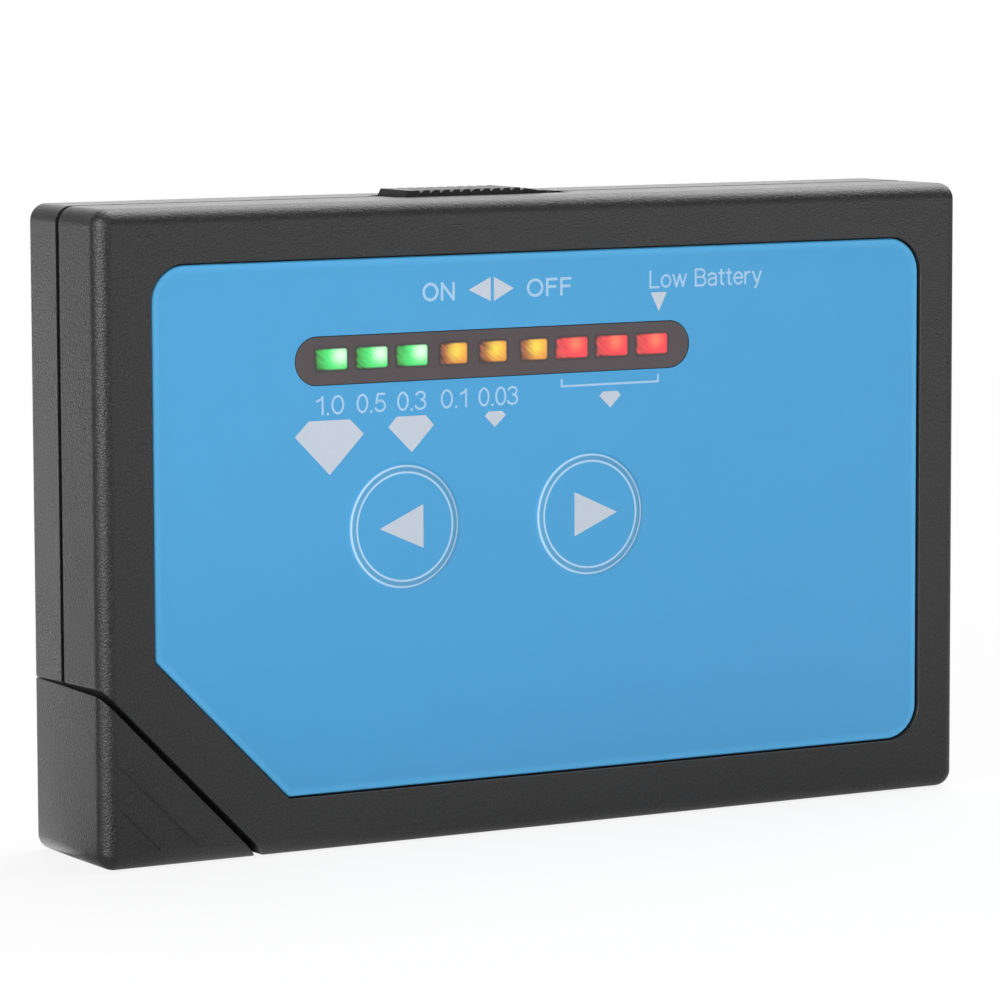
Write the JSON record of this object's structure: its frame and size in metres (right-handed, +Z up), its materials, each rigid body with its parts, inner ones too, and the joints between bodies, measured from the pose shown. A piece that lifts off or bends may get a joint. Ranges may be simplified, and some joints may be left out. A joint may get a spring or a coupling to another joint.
{
  "type": "diamond tester",
  "caption": "Flat pocket heat-probe tester for gemstones, with an LED bar, a printed overlay with embossed keys, a slide switch, and a pull-off corner cap over a sprung probe.",
  "frame": {"origin": "middle of the foot of the part: on the long bottom edge, halfway across its width and depth", "axes": "+X to the right along the front, +Y from the front to the back, +Z up"},
  "size_m": [0.0938, 0.0148, 0.0606],
  "materials": {
    "case_plastic": "fine spark-eroded texture",
    "overlay_film": "satin printed film",
    "window_plastic": "smoked, half clear",
    "green_led_body": "clear tinted resin",
    "amber_led_body": "clear tinted resin",
    "red_led_body": "clear tinted resin",
    "board_laminate": "solder mask over glass fibre",
    "dark_resin": "moulded resin",
    "blue_resin": "moulded resin",
    "capacitor_sleeve": "shrunk sleeve",
    "ivory_resin": "heat resisting moulded resin",
    "switch_metal": "pressed tinned cover",
    "spring_steel": "nickel plated wire and strip",
    "screw_steel": "zinc plated",
    "probe_brass": "turned, bright",
    "cell_jacket": "plain printed jacket over the can",
    "black_wire": "soft insulation",
    "red_wire": "soft insulation",
    "probe_wire": "fine enamelled wire"
  },
  "bodies": {
    "casing": {"amber_led_1": "amber_led_body", "amber_led_2": "amber_led_body", "amber_led_3": "amber_led_body", "amplifier_chip": "dark_resin", "back_shell": "case_plastic", "board_screw_1": "screw_steel", "board_screw_2": "screw_steel", "bridge_contact": "spring_steel", "bridge_spring": "spring_steel", "buzzer": "dark_resin", "capacitor": "capacitor_sleeve", "case_screw_1": "screw_steel", "case_screw_2": "screw_steel", "case_screw_3": "screw_steel", "case_screw_4": "screw_steel", "controller_chip": "dark_resin", "front_shell": "case_plastic", "green_led_1": "green_led_body", "green_led_2": "green_led_body", "green_led_3": "green_led_body", "left_cell": "cell_jacket", "left_tact_switch": "switch_metal", "light_baffle": "dark_resin", "main_board": "board_laminate", "minus_contact": "spring_steel", "minus_lead": "black_wire", "minus_spring": "spring_steel", "overlay_panel": "overlay_film", "plus_contact": "spring_steel", "plus_lead": "red_wire", "probe_holder": "ivory_resin", "probe_lead_1": "probe_wire", "probe_lead_2": "probe_wire", "probe_sleeve": "probe_brass", "probe_spring": "spring_steel", "red_led_1": "red_led_body", "red_led_2": "red_led_body", "red_led_3": "red_led_body", "right_cell": "cell_jacket", "right_tact_switch": "switch_metal", "switch_body": "switch_metal", "trimmer": "blue_resin", "window_strip": "window_plastic"},
    "power_slider": {"power_knob": "case_plastic", "switch_lever": "dark_resin"},
    "left_key": {"left_key_dome": "overlay_film", "left_tact_stem": "dark_resin"},
    "right_key": {"right_key_dome": "overlay_film", "right_tact_stem": "dark_resin"},
    "cap": {"corner_cap": "case_plastic"},
    "door": {"battery_door": "case_plastic"},
    "probe": {"probe_pin": "probe_brass", "heater_bead": "dark_resin"}
  },
  "joints": [
    {"name": "power_slide", "type": "slide", "parent": "casing", "child": "power_slider", "axis": [1, 0, 0], "range_m": [0, 0.002]},
    {"name": "left_key_press", "type": "slide", "parent": "casing", "child": "left_key", "axis": [0, 1, 0], "range_m": [0, 0.0003], "stiffness_N_per_m": 4000},
    {"name": "right_key_press", "type": "slide", "parent": "casing", "child": "right_key", "axis": [0, 1, 0], "range_m": [0, 0.0003], "stiffness_N_per_m": 4000},
    {"name": "cap_pull", "type": "slide", "parent": "casing", "child": "cap", "axis": [-0.7071, 0, -0.7071], "range_m": [0, 0.02]},
    {"name": "door_slide", "type": "slide", "parent": "casing", "child": "door", "axis": [1, 0, 0], "range_m": [0, 0.028]},
    {"name": "probe_press", "type": "slide", "parent": "casing", "child": "probe", "axis": [0.7071, 0, 0.7071], "range_m": [0, 0.0006], "stiffness_N_per_m": 1000, "deforming": ["probe_spring"]}
  ]
}
